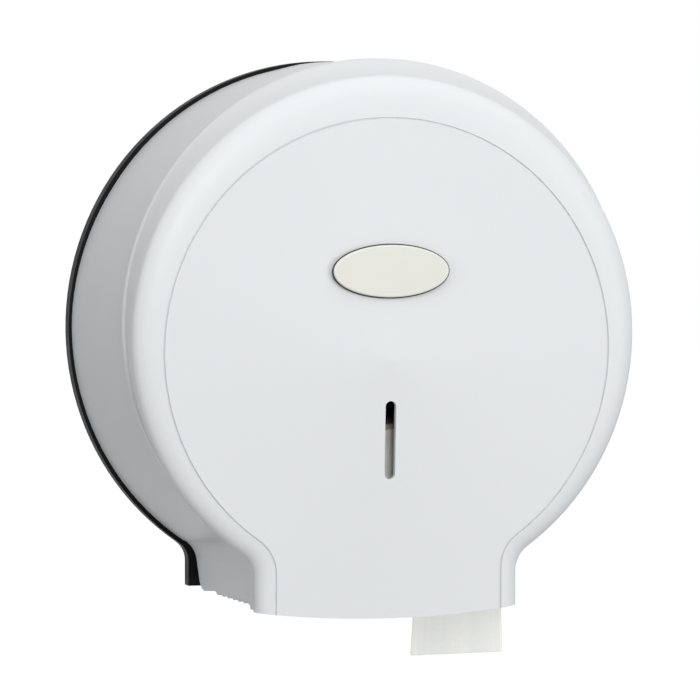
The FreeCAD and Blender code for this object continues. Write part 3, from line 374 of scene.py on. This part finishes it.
bpy.ops.mesh.primitive_circle_add(vertices=STEPS_ROUND, radius=bore_radius, rotation=(math.pi / 2, 0, 0))
wound_roll = bpy.context.object
wound_roll.name = "wound_roll"
bpy.ops.object.transform_apply(location=True, rotation=True, scale=True)
for vertex in wound_roll.data.vertices:
    vertex.co.y = roll_face + bore_edge_sunk
bpy.ops.object.mode_set(mode="EDIT")
bpy.ops.mesh.select_mode(type="EDGE")
bpy.ops.mesh.select_all(action="SELECT")
face_rings = []
for turn_index in range(1, FACE_TURNS + 1):
    share = turn_index / FACE_TURNS
    ring_radius = bore_radius + (roll_radius - face_margin - bore_radius) * share
    face_rings.append((ring_radius, dice.uniform(0.0, face_uneven)))
for radius, sunk in face_rings:
    ring_out(radius, roll_face + sunk)
ring_out(roll_radius - rim_inset, roll_face + rim_sunk)
for step in range(1, WALL_STEPS):
    wall_y = roll_face + (roll_back - roll_face) * step / WALL_STEPS
    ring_out(roll_radius - dice.uniform(0.0, wall_uneven), wall_y)
ring_out(roll_radius - rim_inset, roll_back - rim_sunk)
for radius, sunk in reversed(face_rings):
    ring_out(radius, roll_back - sunk)
ring_out(bore_radius, roll_back - bore_edge_sunk)
bpy.ops.mesh.select_all(action="DESELECT")
bpy.ops.mesh.select_non_manifold()
bpy.ops.mesh.bridge_edge_loops()
bpy.ops.mesh.select_all(action="SELECT")
bpy.ops.mesh.normals_make_consistent(inside=False)
bpy.ops.object.mode_set(mode="OBJECT")
for vertex in wound_roll.data.vertices:
    vertex.co.z += roll_axis_z
bpy.ops.object.shade_smooth_by_angle(angle=smooth_below)

tissue_roll, tree, shader = new_finish("tissue_roll")
place = tree.nodes.new("ShaderNodeTexCoord").outputs["Object"]
parts, turn = turn_about(tree, place, roll_axis_z)
flat_place = tree.nodes.new("ShaderNodeCombineXYZ")
tree.links.new(parts.outputs["X"], flat_place.inputs["X"])
tree.links.new(parts.outputs["Z"], flat_place.inputs["Y"])
reach = tree.nodes.new("ShaderNodeVectorMath")
reach.operation = "LENGTH"
tree.links.new(flat_place.outputs["Vector"], reach.inputs[0])
# The turns are a spiral: the reach less a share of one turn's thickness for the angle.
turn_thickness = 0.00045
spiral = work_out(tree, "MULTIPLY_ADD", turn, -turn_thickness / (2 * math.pi), reach.outputs["Value"])
in_one_turn = work_out(tree, "PINGPONG", spiral, turn_thickness / 2)
turn_share = work_out(tree, "DIVIDE", in_one_turn, turn_thickness / 2)
bunch_place = tree.nodes.new("ShaderNodeCombineXYZ")
tree.links.new(spiral, bunch_place.inputs["X"])
bunch = mottle(tree, bunch_place.outputs["Vector"], 700.0, 3.0)
crepe = mottle(tree, stretched(tree, place, (1.0, 0.12, 1.0)), 1400.0, 3.0)
# The ends show the edges of the turns, and the outside shows the crepe of the sheet.
shape = tree.nodes.new("ShaderNodeNewGeometry")
facing = tree.nodes.new("ShaderNodeSeparateXYZ")
tree.links.new(shape.outputs["True Normal"], facing.inputs["Vector"])
is_end = spread(tree, work_out(tree, "ABSOLUTE", facing.outputs["Y"]), (0.6, 0.85))
skin_height = tree.nodes.new("ShaderNodeMix")
tree.links.new(is_end, skin_height.inputs["Factor"])
tree.links.new(crepe, skin_height.inputs["A"])
tree.links.new(work_out(tree, "MULTIPLY", turn_share, bunch), skin_height.inputs["B"])
edges = two_shades(tree, bunch, 0.25, (0.86, 0.85, 0.81), 0.65, (0.96, 0.95, 0.92))
feed(tree, shader.inputs["Base Color"], blend(tree, is_end, (0.82, 0.81, 0.78), edges))
feed(tree, shader.inputs["Roughness"], 0.95)
feed(tree, shader.inputs["Specular IOR Level"], 0.2)
feed(tree, shader.inputs["Sheen Weight"], 0.15)
feed(tree, shader.inputs["Normal"], relief(tree, skin_height.outputs["Result"], 0.00025))
wound_roll.data.materials.append(tissue_roll)
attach(wound_roll, "roll")
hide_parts("paper_roll")


# PAPER TAIL
# The loose end of the two-ply sheet. It leaves the right side of the roll, hangs through the outlet of the
# neck, and is torn off on a slant across the teeth, which has twisted it a little.
tail_width = roll_back - roll_face
lap_angle = math.radians(28)
LAP_STEPS = 3
tail_gap = 0.00025
tail_start_x = roll_radius + tail_gap
# Height, then how far right the front edge and the rear edge are.
TAIL_LEVELS = [
    (roll_axis_z, tail_start_x, tail_start_x),
    (-0.0255, 0.0709, 0.0705),
    (-0.0610, 0.0676, 0.0635),
    (-0.0964, 0.0637, 0.0549),
    (-0.1260, 0.0623, 0.0482),
    (-0.1440, 0.0630, 0.0449),
]
tail_front_end = Vector((0.0635, 0, -0.1626))
tail_rear_end = Vector((0.0424, 0, -0.1749))


def smooth_between(points, share):
    """A point of the smooth line through these points, at this share of the way along them."""
    last = len(points) - 1
    short_of_end = 1e-6
    at = min(share * last, last - short_of_end)
    step = int(at)
    gone = at - step
    before = points[max(step - 1, 0)]
    start = points[step]
    end = points[step + 1]
    after = points[min(step + 2, last)]
    slope = end - before
    bend = 2 * before - 5 * start + 4 * end - after
    swing = 3 * start - before - 3 * end + after
    return start + (slope * gone + bend * gone * gone + swing * gone * gone * gone) * 0.5


front_line = []
rear_line = []
for step in range(LAP_STEPS, 0, -1):
    lap = lap_angle * step / LAP_STEPS
    lapped = Vector((roll_radius * math.cos(lap), 0, roll_axis_z + roll_radius * math.sin(lap)))
    front_line.append(lapped)
    rear_line.append(lapped)
for z, front_x, rear_x in TAIL_LEVELS:
    front_line.append(Vector((front_x, 0, z)))
    rear_line.append(Vector((rear_x, 0, z)))
front_line.append(tail_front_end)
rear_line.append(tail_rear_end)

# The first third of its rows lies on the roll. From there on the sheet hangs free, flutes, and curls along
# both edges.
held_share = 0.34
free_share = 0.66
# Each flute: how many radians it runs over the width and over the length, where it starts, and its depth.
FLUTES = [
    (13.0, 0.0, 0.6, 0.0002),
    (5.1, 2.0, 0.0, 0.0005),
]
front_curl = 0.0007
front_curl_reach = 0.06
rear_curl = 0.0010
rear_curl_reach = 0.08
torn_from = 0.995
notch_depth = 0.00012
ply_thickness = 0.00022
ACROSS = 48
ALONG = 120
bpy.ops.mesh.primitive_grid_add(x_subdivisions=ACROSS, y_subdivisions=ALONG, size=1, calc_uvs=True)
tissue_tail = bpy.context.object
tissue_tail.name = "tissue_tail"
tear = random.Random(11)
tears = [tear.uniform(-1, 1) for _ in range(ACROSS + 1)]
for vertex in tissue_tail.data.vertices:
    across = vertex.co.x + 0.5
    along = vertex.co.y + 0.5
    place = smooth_between(front_line, along).lerp(smooth_between(rear_line, along), across)
    free = max(0.0, along - held_share) / free_share
    flute = 0.0
    for over_width, over_length, start, depth in FLUTES:
        flute += math.sin(across * over_width + along * over_length + start) * depth
    curl = math.exp(-across / front_curl_reach) * front_curl
    curl += math.exp(-(1 - across) / rear_curl_reach) * rear_curl
    x = place.x + (flute + curl) * free
    y = roll_face + tail_width * across
    z = place.z
    if along > torn_from:
        z += notch_depth * tears[min(int(across * ACROSS), ACROSS)]
    vertex.co = (x, y, z)
thickness = tissue_tail.modifiers.new("ply", "SOLIDIFY")
thickness.thickness = ply_thickness
thickness.offset = 1
bpy.context.view_layer.objects.active = tissue_tail
bpy.ops.object.modifier_apply(modifier="ply")
bpy.ops.object.shade_smooth()

light_through = 0.74
tissue_sheet, tree, shader = new_finish("tissue_sheet")
place = tree.nodes.new("ShaderNodeUVMap")
place.uv_map = tissue_tail.data.uv_layers[0].name
crepe = mottle(tree, stretched(tree, place.outputs["UV"], (14.0, 190.0, 1.0)), 1.0, 4.0)
streak = mottle(tree, stretched(tree, place.outputs["UV"], (26.0, 1.6, 1.0)), 1.0, 2.0)
shade = two_shades(tree, streak, 0.3, (0.94, 0.95, 0.935), 0.7, (0.975, 0.975, 0.96))
creped = relief(tree, crepe, 0.0002)
feed(tree, shader.inputs["Base Color"], shade)
feed(tree, shader.inputs["Roughness"], 0.95)
feed(tree, shader.inputs["Specular IOR Level"], 0.15)
feed(tree, shader.inputs["Sheen Weight"], 0.2)
feed(tree, shader.inputs["Normal"], creped)
through = tree.nodes.new("ShaderNodeBsdfTranslucent")
feed(tree, through.inputs["Color"], shade)
feed(tree, through.inputs["Normal"], creped)
thin = tree.nodes.new("ShaderNodeMixShader")
feed(tree, thin.inputs[0], light_through)
tree.links.new(shader.outputs[0], thin.inputs[1])
tree.links.new(through.outputs[0], thin.inputs[2])
tree.links.new(thin.outputs[0], tree.nodes["Material Output"].inputs["Surface"])
tissue_tail.data.materials.append(tissue_sheet)
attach(tissue_tail, "base")
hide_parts("paper_tail")


# SIDE BAND
# Tapered wall of the cover in white ABS, injection moulded and polished, with the teeth that cut the paper
# moulded along its foot. It carries the hinge ears, the lock and the lugs for the front moulding's screws.
def moulded_copy(node, name, sharp, edge_round):
    """A piece as this CAD node is, with its points joined, its edges rounded and its curves smooth."""
    piece = bpy.data.objects.new(name, nodes[node].data.copy())
    bpy.context.scene.collection.objects.link(piece)
    piece.data.materials.clear()
    bpy.ops.object.select_all(action="DESELECT")
    piece.select_set(True)
    bpy.context.view_layer.objects.active = piece
    bpy.ops.object.mode_set(mode="EDIT")
    bpy.ops.mesh.select_all(action="SELECT")
    bpy.ops.mesh.remove_doubles(threshold=0.00001)
    bpy.ops.object.mode_set(mode="OBJECT")
    bpy.ops.mesh.customdata_custom_splitnormals_clear()
    if edge_round:
        edge = piece.modifiers.new("edge", "BEVEL")
        edge.width = edge_round
        edge.segments = 2
        edge.limit_method = "ANGLE"
        edge.angle_limit = sharp
        bpy.ops.object.modifier_apply(modifier="edge")
    bpy.ops.object.shade_smooth_by_angle(angle=sharp)
    if edge_round:
        broad = piece.modifiers.new("broad", "WEIGHTED_NORMAL")
        broad.keep_sharp = True
        bpy.ops.object.modifier_apply(modifier="broad")
    return piece


white_abs = moulded(
    "white_abs", (0.80, 0.82, 0.835), (0.78, 0.80, 0.815),
    gloss=(0.3, 0.38), shine=0.15, grain=420.0, depth=0.000012,
)
band_wall = moulded_copy("side_band", "band_wall", sharp=math.radians(30), edge_round=0.00015)
# Towards the plate the wall draws in over the upper corners, so that more of the plate shows there. This
# starts at the sides, is in full from 30 degrees up, and fades out just before the top.
round_centre_z = 0.0066
wall_radius_from = 0.125
draw_in = 0.0015
draw_in_depth = 0.09
full_from_degrees = 30
gone_at_degrees = 86
fade_degrees = 8
for point in band_wall.data.vertices:
    arm = Vector((point.co.x, 0, point.co.z - round_centre_z))
    rear_share = 1 + point.co.y / draw_in_depth
    if arm.length > wall_radius_from and arm.z > 0 and rear_share > 0:
        climb = math.degrees(math.atan2(arm.z, abs(arm.x)))
        side_share = min(climb / full_from_degrees, 1)
        top_share = min(max((gone_at_degrees - climb) / fade_degrees, 0), 1)
        inwards = arm.normalized() * draw_in * rear_share * side_share * top_share
        point.co.x -= inwards.x
        point.co.z -= inwards.z
band_wall.data.materials.append(white_abs)
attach(band_wall, "cover")
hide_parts("side_band")


# FRONT COVER
# Front moulding of the same white ABS: a lip against the band, a rolled bezel, a fine moulded line and a
# gently domed panel with the sight slot. It is screwed to the lugs of the band from behind.
front_shell = moulded_copy("front_cover", "front_shell", sharp=math.radians(40), edge_round=0)
shell_points = front_shell.data.vertices
# The lip is a low bead. Its outer wall stands a little proud of the band and slopes down into the bezel.
lip_front = 0.1065
bead_height = 0.0005
bead_top_back = 0.0030
bead_foot_back = 0.0012
longest_step = 0.002
same_depth = 0.00002
# A wall of the lip hardly tilts to the front. The one that faces straight down is the foot of the neck.
wall_tilt = 0.01
faces_down = -0.97
lip_outwards = {}
for face in front_shell.data.polygons:
    place = face.center
    normal = face.normal
    outwards = normal.x * place.x + normal.z * (place.z - round_centre_z) > 0
    if abs(normal.y) < wall_tilt and outwards and -place.y < lip_front and normal.z > faces_down:
        for at in face.vertices:
            lip_outwards[at] = lip_outwards.get(at, Vector((0, 0, 0))) + normal
bead_foot = set()
for edge in front_shell.data.edges:
    start, end = edge.vertices
    for top, foot in ((start, end), (end, start)):
        if top in lip_outwards and foot not in lip_outwards:
            step = shell_points[foot].co - shell_points[top].co
            on_front_ring = abs(shell_points[foot].co.y + lip_front) < same_depth
            if on_front_ring and abs(step.y) < same_depth and step.length < longest_step:
                bead_foot.add(foot)
for at, normal in lip_outwards.items():
    point = shell_points[at].co
    if abs(point.y + lip_front) < same_depth:
        point.y += bead_top_back
    point.x += normal.normalized().x * bead_height
    point.z += normal.normalized().z * bead_height
for at in bead_foot:
    shell_points[at].co.y += bead_foot_back
front_shell.data.materials.append(white_abs)
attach(front_shell, "cover")
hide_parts("front_cover")


# BADGE
# Bare oval plate of moulded cream plastic. It is let into a shallow recess of the panel and stuck there on
# a foam pad; the pad's near-black colour is painted shade for the gap round the badge.
cream_plastic = moulded(
    "cream_plastic", (0.80, 0.80, 0.735), (0.765, 0.77, 0.70),
    gloss=(0.28, 0.4), shine=0.5, grain=900.0, depth=0.00002,
)
dress(["badge_plate"], cream_plastic)
# Near-black pad colour: painted shade, so that the thin gap round the badge reads as a dark line.
pad_foam_painted_shade = moulded(
    "pad_foam_painted_shade", (0.03, 0.03, 0.035), (0.05, 0.05, 0.055),
    gloss=(0.8, 0.95), shine=0.5, grain=2400.0, depth=0.0001,
)
dress(["badge_pad"], pad_foam_painted_shade)


# LOCK
# Barrel of die-cast zinc in the top of the band, held by a hexagon nut. The key turns the plug in it, and
# with it the hooked cam that a screw holds to the plug.
cast_zinc = plated("cast_zinc", (0.44, 0.44, 0.45), (0.33, 0.33, 0.34), gloss=(0.2, 0.36), streaks=1700.0)
dress(["lock_housing", "lock_nut", "lock_plug", "latch_cam", "cam_screw"], cast_zinc)
